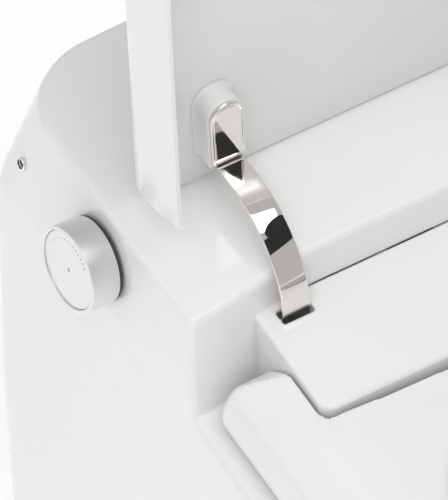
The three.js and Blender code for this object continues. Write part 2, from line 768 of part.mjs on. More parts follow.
for (const [name, side] of SIDES) {
  add(lid, `hinge_boss_${name}`, hingeBoss(side), "lacquer");
  add(lid, `hinge_plaque_${name}`, hingePlaque(side), "chrome");
  add(lid, `hinge_arm_${name}`, hingeArm(side), "chrome");
  add(lid, `lid_buffer_${name}`, lidBuffer(side), "buffer");
  add(seat, `seat_buffer_rear_${name}`, seatBuffer(side, 110), "buffer");
  add(seat, `seat_buffer_front_${name}`, seatBuffer(side, 320), "buffer");
  add(toilet, `seat_hinge_block_${name}`, seatHingeBlock(side), "grey");
  add(toilet, `seat_hinge_pin_${name}`, seatHingePin(side), "steel");
  add(toilet, `lid_hinge_bracket_${name}`, lidHingeBracket(side), "steel");
  add(toilet, `lid_axle_${name}`, lidAxle(side), "steel");
  add(toilet, `lid_damper_${name}`, lidDamper(side), "dark");
  add(toilet, `floor_bracket_${name}`, floorBracket(side), "steel");
  add(toilet, `floor_screw_${name}`, floorScrew(side), "steel");
  const cap = new THREE.Group();
  cap.position.set(side * (rearHalfAt(CAP.z) + 0.4), CAP.y, CAP.z);
  cap.rotation.set(0, side * rad(90 - CAP.lean), 0);
  toilet.add(cap);
  add(cap, `fixing_cap_${name}`, cut(knobDisc(5.5, [0, 1.2], 20), knobDisc(3.6, [0.5, 2], 20)), "chrome");
  add(cap, `fixing_screw_${name}`, knobDisc(3.3, [-4, -0.3], 12), "steel");
}

export default toilet;
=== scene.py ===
"""Shower toilet: the detailed pieces, their materials and the studio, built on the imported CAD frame.

Shapes are worked out in millimetres and turned into metres when their mesh is made.
"""

import json
import math

import bmesh
import bpy
import numpy as np
from mathutils import Euler, Matrix, Vector


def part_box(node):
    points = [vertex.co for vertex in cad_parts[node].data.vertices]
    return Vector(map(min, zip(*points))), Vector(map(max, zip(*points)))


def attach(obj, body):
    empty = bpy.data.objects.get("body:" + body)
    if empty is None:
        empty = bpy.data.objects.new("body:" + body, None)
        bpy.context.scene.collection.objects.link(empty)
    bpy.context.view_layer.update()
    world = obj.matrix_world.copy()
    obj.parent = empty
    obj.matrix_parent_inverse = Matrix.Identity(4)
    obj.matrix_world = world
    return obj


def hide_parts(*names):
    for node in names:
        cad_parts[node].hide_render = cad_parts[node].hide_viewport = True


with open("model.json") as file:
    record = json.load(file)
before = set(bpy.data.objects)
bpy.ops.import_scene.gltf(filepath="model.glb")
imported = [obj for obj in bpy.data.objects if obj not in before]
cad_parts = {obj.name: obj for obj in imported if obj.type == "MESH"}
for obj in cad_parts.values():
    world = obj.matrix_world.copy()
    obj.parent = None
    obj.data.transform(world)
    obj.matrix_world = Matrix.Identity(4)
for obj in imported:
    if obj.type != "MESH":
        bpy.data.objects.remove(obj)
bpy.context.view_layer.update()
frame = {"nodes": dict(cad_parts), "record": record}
MM = 0.001

# The same driving sizes as the CAD model
WALL = 20.0
STEP = -215.0
RIM_Z = 400.0
DECK_Z = 492.0
CREASE_Z = 412.0
REAR_HALF = 197.0
DECK_HALF = 180.0
STEP_HALF = 181.0
RIM_HALF = 183.0
SEAT_HALF = 171.0
SEAT_TOP = 460.0
WALL_THICK = 14.0
FRONT_START = STEP - 130.0
FRONT_LENGTH = 285.0
FRONT_POWER = 2.3
LID_AXIS = (-158.0, 464.0)
SEAT_AXIS = (-255.0, 434.0)
LID_OPEN_DEG = 94.0
COVER = {"half": 130.0, "rear": -206.2, "front": -300.0, "top": 464.0, "bottom": 403.5, "wall": 3.0}
ARM_X = 105.5
ARM_INNER, ARM_OUTER = 62.0, 65.0
KNOB_TILT = Euler((0, -math.radians(82), math.radians(3)), "XYZ")
KNOB_SPOT = (-188.204, -111.0, 451.0)
KNOB_RADIUS = 30.0
KNOB_HEIGHT = 23.0
WAND_SLOPE = math.radians(20)
WAND_TIP = (-287.0, 396.0)
SIDES = (("left", -1), ("right", 1))


# ---------------------------------------------------------------- materials


class Graph:
    """A material's node tree, with short calls for the nodes used here."""

    def __init__(self, name, base, roughness, metallic=0.0):
        self.material = bpy.data.materials.new(name)
        self.material.use_nodes = True
        self.tree = self.material.node_tree
        self.shader = self.tree.nodes["Principled BSDF"]
        self.shader.inputs["Base Color"].default_value = (*base, 1)
        self.shader.inputs["Roughness"].default_value = roughness
        self.shader.inputs["Metallic"].default_value = metallic
        self.base = base
        self.place = self.tree.nodes.new("ShaderNodeTexCoord").outputs["Object"]

    def link(self, start, end):
        self.tree.links.new(start, end)

    def stretched(self, scale):
        mapping = self.tree.nodes.new("ShaderNodeMapping")
        mapping.inputs["Scale"].default_value = scale
        self.link(self.place, mapping.inputs["Vector"])
        return mapping.outputs["Vector"]

    def noise(self, scale, detail=3.0, place=None):
        node = self.tree.nodes.new("ShaderNodeTexNoise")
        node.inputs["Scale"].default_value = scale
        node.inputs["Detail"].default_value = detail
        self.link(place or self.place, node.inputs["Vector"])
        return node.outputs["Fac"]

    def ramp(self, value, low, high, out_low=0.0, out_high=1.0):
        node = self.tree.nodes.new("ShaderNodeMapRange")
        for name, number in zip(
            ("From Min", "From Max", "To Min", "To Max"), (low, high, out_low, out_high)
        ):
            node.inputs[name].default_value = number
        self.link(value, node.inputs["Value"])
        return node.outputs["Result"]

    def roughen(self, value, low, high, out_low, out_high):
        """Roughness that follows a value."""
        rough = self.ramp(value, low, high, out_low, out_high)
        self.link(rough, self.shader.inputs["Roughness"])

    def tint(self, value, other):
        """Base colour that runs to another colour with a value from 0 to 1."""
        node = self.tree.nodes.new("ShaderNodeMix")
        node.data_type = "RGBA"
        node.inputs["A"].default_value = (*self.base, 1)
        node.inputs["B"].default_value = (*other, 1)
        self.link(value, node.inputs["Factor"])
        self.link(node.outputs["Result"], self.shader.inputs["Base Color"])

    def bump(self, height, strength, distance):
        node = self.tree.nodes.new("ShaderNodeBump")
        node.inputs["Strength"].default_value = strength
        node.inputs["Distance"].default_value = distance
        self.link(height, node.inputs["Height"])
        self.link(node.outputs["Normal"], self.shader.inputs["Normal"])


def shade(colour, by):
    return tuple(channel * by for channel in colour)


def finish(name, base, roughness, spread, grain, relief=0.04, coat=0.0):
    """A finish with slow colour drift, uneven roughness and a fine grain in its relief."""
    graph = Graph(name, base, roughness)
    graph.tint(graph.ramp(graph.noise(9.0, 4.0), 0.35, 0.65), shade(base, 0.97))
    graph.roughen(graph.noise(38.0, 5.0), 0.3, 0.7, roughness - spread, roughness + spread)
    graph.bump(graph.noise(grain, 2.0), relief, 0.0002)
    graph.shader.inputs["Coat Weight"].default_value = coat
    return graph.material


def brushed(name, base, roughness, stretch):
    """Metal with fine parallel lines, drawn out along the axis whose stretch is small."""
    graph = Graph(name, base, roughness, 1.0)
    lines = graph.noise(1.0, 4.0, graph.stretched(stretch))
    graph.tint(graph.ramp(lines, 0.3, 0.7), shade(base, 0.93))
    graph.roughen(lines, 0.25, 0.75, roughness - 0.06, roughness + 0.06)
    graph.bump(lines, 0.12, 0.0001)
    return graph.material


def polished_chrome():
    """Mirror chrome with faint wiping marks and a slight haze that comes and goes."""
    graph = Graph("chrome_polished", (0.9, 0.865, 0.835), 0.03, 1.0)
    graph.tint(graph.ramp(graph.noise(30.0, 3.0), 0.3, 0.7), (0.88, 0.845, 0.815))
    graph.roughen(graph.noise(60.0, 6.0), 0.35, 0.7, 0.02, 0.07)
    graph.bump(graph.noise(1400.0, 2.0, graph.stretched((1.0, 0.15, 0.15))), 0.015, 0.0001)
    return graph.material


def glaze():
    """Fired white glaze: a clear gloss over a body that is never quite even."""
    graph = Graph("glaze_white", (0.9, 0.9, 0.9), 0.1)
    graph.tint(graph.ramp(graph.noise(6.0, 5.0), 0.35, 0.65), (0.882, 0.882, 0.883))
    graph.roughen(graph.noise(24.0, 4.0), 0.3, 0.7, 0.08, 0.16)
    graph.bump(graph.noise(95.0, 3.0), 0.02, 0.0006)
    return graph.material


def satin_aluminium():
    """Blasted and anodised aluminium with fine turning lines round the knob's axis."""
    graph = Graph("aluminium_satin", (0.87, 0.87, 0.875), 0.5, 1.0)
    lines = graph.noise(1.0, 3.0, graph.stretched((60.0, 60.0, 5200.0)))
    speckle = graph.noise(3000.0, 2.0)
    graph.tint(graph.ramp(speckle, 0.3, 0.7), (0.81, 0.81, 0.815))
    graph.roughen(lines, 0.3, 0.7, 0.44, 0.56)
    graph.bump(speckle, 0.1, 0.0001)
    return graph.material


def circuit_board():
    """Green solder mask with a woven glass core and darker tracks."""
    graph = Graph("board_green", (0.03, 0.16, 0.08), 0.4)
    tracks = graph.tree.nodes.new("ShaderNodeTexBrick")
    tracks.inputs["Scale"].default_value = 160.0
    tracks.inputs["Color1"].default_value = (0.02, 0.12, 0.06, 1)
    tracks.inputs["Color2"].default_value = (0.035, 0.17, 0.085, 1)
    tracks.inputs["Mortar"].default_value = (0.05, 0.24, 0.12, 1)
    graph.link(graph.place, tracks.inputs["Vector"])
    graph.link(tracks.outputs["Color"], graph.shader.inputs["Base Color"])
    graph.roughen(graph.noise(300.0), 0.3, 0.7, 0.32, 0.5)
    graph.bump(tracks.outputs["Fac"], 0.3, 0.0001)
    return graph.material


WHITE = (0.9, 0.9, 0.9)
MATERIALS = {
    "ceramic": glaze(),
    "lacquer": finish("lacquer_white", WHITE, 0.16, 0.04, grain=160.0, relief=0.012, coat=0.3),
    "seat": finish("seat_white", WHITE, 0.14, 0.03, grain=120.0, relief=0.01, coat=0.3),
    "lid": finish("lid_white", (0.885, 0.885, 0.88), 0.17, 0.04, grain=140.0, relief=0.012, coat=0.3),
    "chrome": polished_chrome(),
    "aluminium": satin_aluminium(),
    "knob_face": finish("knob_face_white", (0.92, 0.925, 0.925), 0.3, 0.05, grain=1200.0),
    "steel": brushed("steel_brushed", (0.56, 0.57, 0.58), 0.34, (90.0, 900.0, 900.0)),
    "brass": brushed("brass_turned", (0.66, 0.52, 0.27), 0.3, (900.0, 90.0, 900.0)),
    "rubber": finish("rubber_black", (0.035, 0.035, 0.037), 0.72, 0.08, grain=1500.0, relief=0.2),
    "buffer": finish("rubber_white", (0.72, 0.725, 0.72), 0.6, 0.08, grain=1500.0, relief=0.15),
    "dark_plastic": finish("plastic_dark", (0.045, 0.048, 0.05), 0.5, 0.07, grain=1100.0, relief=0.2),
    "grey_plastic": finish("plastic_grey", (0.3, 0.31, 0.315), 0.48, 0.07, grain=1100.0, relief=0.2),
    "board": circuit_board(),
}
# A darker copy of the lid's white for the inner panel and the hinge bosses: painted shade, standing for the
# lesser light on the lid's inner face
LID_PAINTED_SHADE = finish(
    "lid_inner_painted_shade", (0.8, 0.8, 0.79), 0.2, 0.04, grain=140.0, relief=0.012, coat=0.2
)
DOT_GREY = finish("dial_print_grey", (0.42, 0.43, 0.44), 0.45, 0.06, grain=1600.0)


# ---------------------------------------------------------------- meshes


def piece_of(name, mesh, slot, body, nodes=(), place=None, material=None):
    """Links a mesh as a piece of the object that stands for some CAD nodes."""
    piece = bpy.data.objects.new(name, mesh)
    bpy.context.scene.collection.objects.link(piece)
    if place is not None:
        piece.matrix_world = place
    mesh.materials.append(material or MATERIALS[slot])
    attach(piece, body)
    if nodes:
        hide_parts(*nodes)
    return piece


def mesh_from(name, points, faces):
    """A smooth-shaded mesh in metres from points in millimetres."""
    mesh = bpy.data.meshes.new(name)
    mesh.from_pydata([tuple(p) for p in np.asarray(points, float) * MM], [], faces)
    mesh.update()
    mesh.shade_smooth()
    return mesh


def merged(name, parts):
    """One mesh from several (points, faces) parts."""
    points, faces = [], []
    for part_points, part_faces in parts:
        start = len(points)
        points.extend(map(tuple, part_points))
        faces.extend([tuple(start + i for i in face) for face in part_faces])
    return mesh_from(name, points, faces)


def bevelled(piece, width, segments=3, angle=35.0):
    """Rounds the piece's hard edges and keeps its flats flat."""
    bevel = piece.modifiers.new("edges", "BEVEL")
    bevel.width = width * MM
    bevel.segments = segments
    bevel.limit_method = "ANGLE"
    bevel.angle_limit = math.radians(angle)
    weights = piece.modifiers.new("flats", "WEIGHTED_NORMAL")
    weights.keep_sharp = False
    return piece


def skin(rings, cap_low=False, cap_high=False):
    """Points and faces over closed rings with the same number of points."""
    rings = np.asarray(rings, float)
    levels, count = rings.shape[:2]
    points = rings.reshape(-1, 3).tolist()
    faces = []
    for level in range(levels - 1):
        for i in range(count):
            a = level * count + i
            b = level * count + (i + 1) % count
            faces.append((a, b, b + count, a + count))
    for wanted, level in ((cap_low, 0), (cap_high, levels - 1)):
        if wanted:
            base = level * count
            centre = len(points)
            points.append(rings[level].mean(0).tolist())
            for i in range(count):
                pair = (base + i, base + (i + 1) % count)
                faces.append((centre, *(pair if level else pair[::-1])))
    return points, faces


def shrunk(ring, shares):
    """Copies of a ring, drawn in towards its middle."""
    middle = ring.mean(0)
    return [middle + (ring - middle) * share for share in shares]


def lathe(profile, steps):
    """Rings of (radius, height) about local Z."""
    turns = np.linspace(0, 2 * np.pi, steps, endpoint=False)
    return [
        np.stack([r * np.cos(turns), r * np.sin(turns), np.full(steps, float(z))], axis=1)
        for r, z in profile
    ]


def rounded_profile(corners, radius, steps=4):
    """A profile whose corners are replaced by short curves."""
    corners = [np.array(c, float) for c in corners]
    out = [corners[0]]
    for before, here, after in zip(corners, corners[1:], corners[2:]):
        to_before, to_after = before - here, after - here
        reach = min(radius, np.linalg.norm(to_before) / 2.01, np.linalg.norm(to_after) / 2.01)
        start = here + to_before / np.linalg.norm(to_before) * reach
        end = here + to_after / np.linalg.norm(to_after) * reach
        for i in range(steps + 1):
            t = i / steps
            out.append((1 - t) ** 2 * start + 2 * t * (1 - t) * here + t * t * end)
    out.append(corners[-1])
    return out


def smooth_path(corners, steps=4):
    """Catmull-Rom curve through some points."""
    corners = np.array(corners, float)
    padded = np.vstack([2 * corners[0] - corners[1], corners, 2 * corners[-1] - corners[-2]])
    out = []
    for p0, p1, p2, p3 in zip(padded, padded[1:], padded[2:], padded[3:]):
        for t in np.arange(steps) / steps:
            curve = 2 * p1 + (p2 - p0) * t + (2 * p0 - 5 * p1 + 4 * p2 - p3) * t**2
            out.append((curve + (3 * p1 - p0 - 3 * p2 + p3) * t**3) / 2)
    out.append(corners[-1])
    return np.array(out)


# ---------------------------------------------------------------- implicit shapes


def round_max(a, b, radius):
    """Where both fields are negative, with a rounded outer corner."""
    corner = np.hypot(np.maximum(a + radius, 0), np.maximum(b + radius, 0))
    return np.minimum(np.maximum(a, b), -radius) + corner


def round_min(a, b, radius):
    """Where either field is negative, with a filleted inner corner."""
    return -round_max(-a, -b, radius)


def soft_min(a, b, width):
    share = np.clip(0.5 + 0.5 * (b - a) / width, 0, 1)
    return b + (a - b) * share - width * share * (1 - share)


def ramp(low, high, t):
    return low + (high - low) * np.clip(t, 0, 1)


def smoothstep(t):
    t = np.clip(t, 0, 1)
    return t * t * (3 - 2 * t)


def box_field(x, y, z, spans, radius):
    """A box given by its spans along X, Y and Z."""
    sides = [np.maximum(low - value, value - high) for value, (low, high) in zip((x, y, z), spans)]
    return round_max(round_max(sides[0], sides[1], radius), sides[2], radius)


def slope_of(field, points, reach=0.05):
    """Central-difference gradient of a field at some points."""
    slope = np.empty_like(points)
    for axis in range(3):
        step = np.zeros(3)
        step[axis] = reach
        slope[:, axis] = (field(*(points + step).T) - field(*(points - step).T)) / (2 * reach)
    return slope


CELL_CORNERS = [(i, j, k) for i in (0, 1) for j in (0, 1) for k in (0, 1)]
GRID_SLABS = 12
SETTLING_ROUNDS = 3


def grid_values(field, low, counts, step):
    """A field's values on a grid, worked out slab by slab to save memory."""
    x, y, z = (low[i] + step * np.arange(counts[i]) for i in range(3))
    slabs = []
    for part in np.array_split(x, GRID_SLABS):
        values = field(part[:, None, None], y[None, :, None], z[None, None, :])
        slabs.append(values + np.zeros((len(part), len(y), len(z))))
    return np.concatenate(slabs)


def crossed_cells(inside):
    """Which cells have corners both inside and outside."""
    cells = np.array(inside.shape) - 1
    filled = 0
    for corner in CELL_CORNERS:
        part = inside[tuple(slice(c, c + n) for c, n in zip(corner, cells))]
        filled = filled + part.astype(np.int8)
    return (filled > 0) & (filled < len(CELL_CORNERS))


def cell_points(values, where):
    """The mean of the surface's crossings of each cell's edges, in grid steps."""
    total = np.zeros((len(where), 3))
    hits = np.zeros(len(where))
    for a in CELL_CORNERS:
        for axis in range(3):
            if a[axis]:
                continue
            b = tuple(c + (i == axis) for i, c in enumerate(a))
            start = values[tuple((where + a).T)]
            end = values[tuple((where + b).T)]
            crossing = (start < 0) != (end < 0)
            share = np.where(crossing, start / np.where(crossing, start - end, 1), 0)
            place = np.array(a, float) + share[:, None] * (np.array(b) - np.array(a))
            total += np.where(crossing[:, None], place, 0)
            hits += crossing
    return where + total / hits[:, None]


def quads_round(spots, axis, index, outward):
    """The quads that join the four cells round each grid edge along an axis."""
    u, v = (axis + 1) % 3, (axis + 2) % 3
    spots[:, u] += 1
    spots[:, v] += 1
    keep = (spots[:, u] < index.shape[u]) & (spots[:, v] < index.shape[v])
    spots = spots[keep]
    ring = []
    for du, dv in ((1, 1), (0, 1), (0, 0), (1, 0)):
        near = spots.copy()
        near[:, u] -= du
        near[:, v] -= dv
        ring.append(index[tuple(near.T)])
    quad = np.stack(ring if outward else ring[::-1], axis=1)
    return quad[(quad >= 0).all(axis=1)]


def net_quads(inside, index):
    """Quads round every grid edge that the surface crosses, facing out."""
    quads = []
    for axis in range(3):
        ahead = [slice(1, None)] * 3
        behind = [slice(1, None)] * 3
        behind[axis] = slice(0, -1)
        first, second = inside[tuple(behind)], inside[tuple(ahead)]
        quads.append(quads_round(np.argwhere(first & ~second), axis, index, True))
        quads.append(quads_round(np.argwhere(~first & second), axis, index, False))
    return np.concatenate(quads)


def settled(field, points, step):
    """Points moved along the field's slope until they lie on its surface."""
    for _ in range(SETTLING_ROUNDS):
        slope = slope_of(field, points)
        size = np.maximum((slope**2).sum(axis=1), 0.05)
        shift = (field(*points.T) / size)[:, None] * slope
        length = np.linalg.norm(shift, axis=1, keepdims=True)
        points = points - shift * np.minimum(1, 0.5 * step / np.maximum(length, 1e-9))
    return points


def surface_net(field, low, high, step):
    """Points, quads and normals of the surface where a field changes sign."""
    low = np.array(low, float)
    counts = np.ceil((np.array(high) - low) / step).astype(int) + 1
    values = grid_values(field, low, counts, step)
    active = crossed_cells(values < 0)
    index = np.full(active.shape, -1)
    index[active] = np.arange(active.sum())
    points = low + step * cell_points(values, np.argwhere(active))
    points = settled(field, points, step)
    normals = slope_of(field, points)
    normals /= np.maximum(np.linalg.norm(normals, axis=1, keepdims=True), 1e-9)
    return points, net_quads(values < 0, index), normals


def implicit_piece(name, field, low, high, step, slot, body, nodes):
    """A piece whose mesh follows a field, with the field's own normals."""
    points, quads, normals = surface_net(field, low, high, step)
    mesh = bpy.data.meshes.new(name)
    mesh.from_pydata((points * MM).tolist(), [], quads.tolist())
    mesh.update()
    mesh.shade_smooth()
    mesh.normals_split_custom_set_from_vertices(normals.tolist())
    return piece_of(name, mesh, slot, body, nodes)


# ---------------------------------------------------------------- ceramic body


FOOT_DRAW = 11.4
TOE_BACK = 95.0
DECK_CROWN = 4.0
RISER = {"back": 11.0, "run": 100.0, "draft": 6.0}
BOWL = {"half": 125.0, "length": 136.0, "y": STEP - 237, "depth": 212.0, "floor": 196.0}
FLUSH_Z = 300.0
TRAP_OUTER, TRAP_INNER = 40.0, 27.0
FLUSH_OUTER, FLUSH_INNER = 27.0, 18.0
REAR_RAIL = ((-150, 150), (-20, 20), (0, 40))
SERVICE_BAY = ((-140, 140), (-2, 30), (232, 445))
OUTLET_WINDOW = ((-60, 60), (-2, 30), (60, 233))
COVER_BAY = ((-124, 124), (-245, -175), (404, 461))
WAND_CHANNEL = ((-22, 22), (-80, 130), (-15, 15))


def draw_in(z):
    """How far the flanks draw in towards the floor."""
    return FOOT_DRAW * (np.maximum(0, RIM_Z - z) / RIM_Z) ** 2.25


def rear_half(z):
    lean = REAR_HALF + (CREASE_Z - z) * (REAR_HALF - DECK_HALF) / (DECK_Z - CREASE_Z)
    return soft_min(REAR_HALF - draw_in(z), lean, 1.6)


def step_half(z):
    over = np.clip((z - RIM_Z) / (DECK_Z - RIM_Z), 0, 1)
    return STEP_HALF - draw_in(z) - over + 1.5 * np.sin(np.pi * over)


def corner_radius(z):
    return ramp(24, 27, z / RIM_Z) + ramp(0, 31, (z - RIM_Z) / (DECK_Z - RIM_Z))


def front_field(x, y, half, length, start):
    """Outline with straight sides up to a start, and a superelliptical front."""
    u = np.abs(x) / half
    v = np.maximum(start - y, 0) / length
    grown = np.maximum((u**FRONT_POWER + v**FRONT_POWER) ** (1 / FRONT_POWER), 1e-6)
    across = (u / grown) ** (FRONT_POWER - 1)
    along = (v / grown) ** (FRONT_POWER - 1) * half / length
    return (grown - 1) * half / np.maximum(np.hypot(across, along), 1e-3)


def plan_field(x, y, z):
    """Outline of the whole body at each height."""
    radius = corner_radius(z)
    back = (y - STEP) / (WALL - radius - STEP)
    half = step_half(z) + (rear_half(z) - step_half(z)) * np.clip(back, 0, 1.3)
    half = half + ramp(0, RIM_HALF - STEP_HALF, (STEP - y) / 60)
    length = FRONT_LENGTH - TOE_BACK * (np.maximum(0, RIM_Z - 20 - z) / RIM_Z) ** 1.2
    sides = front_field(x, y, half, length, FRONT_START)
    return round_max(sides, y - WALL, radius)


def riser_y(x, z):
    """The step's face sets back towards the middle and leans forward at its foot."""
    draft = RISER["draft"] * np.clip((DECK_Z - z) / (DECK_Z - RIM_Z), 0, 1)
    return STEP + RISER["back"] * smoothstep((DECK_HALF - np.abs(x)) / RISER["run"]) - draft


def height_field(x, y, z, drop=0.0):
    """Below the rim in front of the step, and below the deck behind it."""
    crown = DECK_CROWN * (1 - (x / DECK_HALF) ** 2)
    deck = round_max(riser_y(x, z) - y + drop, z - DECK_Z - crown + drop, 4.5)
    return round_min(z - RIM_Z + drop, deck, 1.4)


def bowl_field(x, y, z):
    """Bowl that narrows and moves back towards its floor."""
    t = np.clip((RIM_Z - z) / BOWL["depth"], 0, 1)
    narrow = np.maximum((1 - t**1.8) ** 0.75, 0.05)
    centre = BOWL["y"] + 42 * t**1.5
    reach = np.hypot(x / (BOWL["half"] * narrow), (y - centre) / (BOWL["length"] * narrow))
    return round_max((reach - 1) * BOWL["half"] * narrow, BOWL["floor"] - z, 14)


# Corners (y, z) of the trap's middle line, from the bowl to the outlet
TRAP = [
    (STEP - 195, 205),
    (STEP - 165, 158),
    (STEP - 120, 140),
    (STEP - 72, 175),
    (STEP - 40, 228),
    (STEP + 10, 232),
    (STEP + 55, 195),
    (STEP + 110, 180),
    (WALL - 40, 180),
    (WALL + 20, 180),
]
TRAP_PATH = smooth_path(TRAP)


def path_distance(y, z, path):
    """Distance in the middle plane from a path of (y, z) points."""
    best = np.full(np.broadcast(y, z).shape, 1e6)
    for (ay, az), (by, bz) in zip(path, path[1:]):
        dy, dz = by - ay, bz - az
        t = np.clip(((y - ay) * dy + (z - az) * dz) / (dy * dy + dz * dz), 0, 1)
        best = np.minimum(best, (y - ay - t * dy) ** 2 + (z - az - t * dz) ** 2)
    return np.sqrt(best)


def wand_channel(x, y, z):
    """Sloping channel that the spray wand runs down into the bowl."""
    along = -(y - WAND_TIP[0]) * math.cos(WAND_SLOPE) - (z - WAND_TIP[1]) * math.sin(WAND_SLOPE)
    height = -(y - WAND_TIP[0]) * math.sin(WAND_SLOPE) + (z - WAND_TIP[1]) * math.cos(WAND_SLOPE)
    return box_field(x, along, height, WAND_CHANNEL, 3)


def ceramic_field(x, y, z):
    """Hollow shell with its bowl, trap, flush bore and openings."""
    plan = plan_field(x, y, z)
    edge = ramp(8, 4.5, (y - STEP + 20) / 20)
    outer = round_max(plan, height_field(x, y, z), edge)
    outer = round_max(outer, -z, 1.5)
    bowl = bowl_field(x, y, z)
    trap = np.hypot(x, path_distance(y, z, TRAP_PATH))
    flush = np.hypot(x, path_distance(y, z, [(STEP - 120, FLUSH_Z), (WALL + 20, FLUSH_Z)]))
    hollow = round_max(plan + WALL_THICK, height_field(x, y, z, WALL_THICK), 6)
    hollow = round_max(hollow, WALL_THICK - 1 - bowl, 4)
    shell = round_max(outer, -hollow, 2)
    shell = np.minimum(shell, box_field(x, y, z, REAR_RAIL, 2))
    for spans in (SERVICE_BAY, OUTLET_WINDOW, COVER_BAY):
        shell = round_max(shell, -box_field(x, y, z, spans, 4), 1.5)
    pipes = np.minimum(trap - TRAP_OUTER, flush - FLUSH_OUTER)
    pipes = np.maximum(np.maximum(pipes, y - WALL), -bowl)
    shell = round_min(shell, pipes, 4)
    bores = np.minimum(trap - TRAP_INNER, np.maximum(flush - FLUSH_INNER, STEP - 150 - y))
    cavity = round_min(bowl, bores, 6)
    shell = round_max(shell, -cavity, 5)
    return round_max(shell, -wand_channel(x, y, z), 2.5)


# ---------------------------------------------------------------- seat and its hinge cover


SEAT = {"rear": -229.0, "straight": 150.0, "front": 251.0, "bottom": 407.3, "dish": 4.0, "dish_half": 132.0}
RIDGE = {"inset": 17.0, "z": 444.5, "slope": 0.64}
# What turns a height over each slope into a distance from it
FLANK_LENGTH, SHOULDER_LENGTH = 1.414, 1.187
HOLE = {"half": 103.0, "length": 117.0, "y": STEP - 235}
SEAT_BASE = {"inset": 5.0, "rear": -243.0, "low": 403.0, "high": 407.0}


def seat_plan(x, y, inset=0.0, rear=SEAT["rear"]):
    """Outline of the seat, with its rear corners."""
    sides = front_field(x, y, SEAT_HALF - inset, SEAT["front"] - inset, STEP - SEAT["straight"])
    return round_max(sides, (y - rear) * 1.25, 18)


def seat_hole(x, y, grow=0.0):
    half, length = HOLE["half"] + grow, HOLE["length"] + grow
    ahead = y - HOLE["y"]
    reach = np.hypot(x / half, ahead / length)
    slope = np.hypot(x / half**2, ahead / length**2) / np.maximum(reach, 1e-6)
    return (reach - 1) / np.maximum(slope, 1e-6)


def cover_room(x, y, z):
    """Room for the hinge cover, round at the front so that the seat swings past it."""
    swing = np.hypot(y - SEAT_AXIS[0], z - SEAT_AXIS[1]) - 53.3
    return round_max(np.abs(x) - 131.8, np.minimum(STEP - 87 - y, swing), 11)


def seat_field(x, y, z):
    """Seat ring whose flank slopes up to a ridge, with a flatter shoulder and a dished top."""
    plan = seat_plan(x, y)
    dish = SEAT["dish"] * (1 - np.clip(np.abs(x) / SEAT["dish_half"], 0, 1) ** 2)
    rise = z - RIDGE["z"]
    flank = (rise + plan + RIDGE["inset"]) / FLANK_LENGTH
    shoulder = (rise + (plan + RIDGE["inset"]) * RIDGE["slope"]) / SHOULDER_LENGTH
    top = round_max(z - SEAT_TOP + dish, shoulder, 8)
    field = round_max(round_max(plan, flank, 9), top, 4)
    field = round_max(field, SEAT["bottom"] - z, 4.5)
    field = round_max(field, -seat_hole(x, y), 9)
    return round_max(field, -cover_room(x, y, z), 1.8)


def seat_base_field(x, y, z):
    plan = seat_plan(x, y, SEAT_BASE["inset"], SEAT_BASE["rear"])
    field = round_max(plan, np.maximum(SEAT_BASE["low"] - z, z - SEAT_BASE["high"]), 1.0)
    field = round_max(field, -seat_hole(x, y, 1.0), 1.0)
    return round_max(field, -cover_room(x, y, z), 1.0)


def cover_plan(x, y, inset=0.0):
    half = COVER["half"] - inset
    front = COVER["front"] + inset - y
    rear = y - COVER["rear"] + inset
    return round_max(round_max(np.abs(x) - half, front, 10 - inset), rear, 2)


def cover_field(x, y, z):
    """Hollow cover with two arm slots, seat pin holes, an open back and the wand's exit."""
    top, bottom, wall = COVER["top"], COVER["bottom"], COVER["wall"]
    outer = round_max(cover_plan(x, y), z - top, 3.2)
    outer = round_max(outer, bottom - z, 0.6)
    inner = round_max(cover_plan(x, y, wall), z - top + wall + 0.5, 1.5)
    field = round_max(outer, -inner, 0.6)
    slot_spans = ((ARM_X - 11.75, ARM_X + 11.75), (STEP - 11.5, STEP + 0.5), (top - 9, top + 9))
    slot = box_field(np.abs(x), y, z, slot_spans, 2.5)
    pin_hole = np.hypot(y - SEAT_AXIS[0], z - SEAT_AXIS[1]) - 6
    pin = np.maximum(pin_hole, COVER["half"] - 5 - np.abs(x))
    window = box_field(x, y, z, ((-122, 122), (-215, -202), (bottom - 5, top - 4)), 2)
    exit_gap = box_field(x, y, z, ((-24, 24), (-306, -295), (bottom - 5, bottom + 16)), 2)
    for cut in (slot, pin, window, exit_gap):
        field = round_max(field, -cut, 0.7)
    return field


# ---------------------------------------------------------------- lid

LID = {"half": 168.0, "rear": 61.0, "straight": 190.0, "length": 389.0, "rim": -16.5}
FLAP = {"half": 150.0, "rear": 37.0, "front": 95.0}
PLATE_LOW = 38.4
REAR_COLUMNS = 20
PLAQUE_HALF = 12.0
PLAQUE_HIGH = 118.0
LID_MATRIX = Matrix.Translation(Vector((0, LID_AXIS[0], LID_AXIS[1])) * MM) @ Matrix.Rotation(
    -math.radians(LID_OPEN_DEG), 4, "X"
)


def in_lid(piece):
    """Turns a piece that is drawn closed, about the lid's axis, to its open place."""
    piece.data.transform(LID_MATRIX)
    return piece


def flap_half(inset, reach):
    """Left half of the plate that runs back over the deck, between the side walls."""
    half = FLAP["half"] - inset
    rear = -FLAP["rear"] - inset
    across = [(-t, rear) for t in np.linspace(0, half, 12)]
    return across + [(-half, rear * (1 - t) + reach * t) for t in (0.33, 0.66, 1.0)]


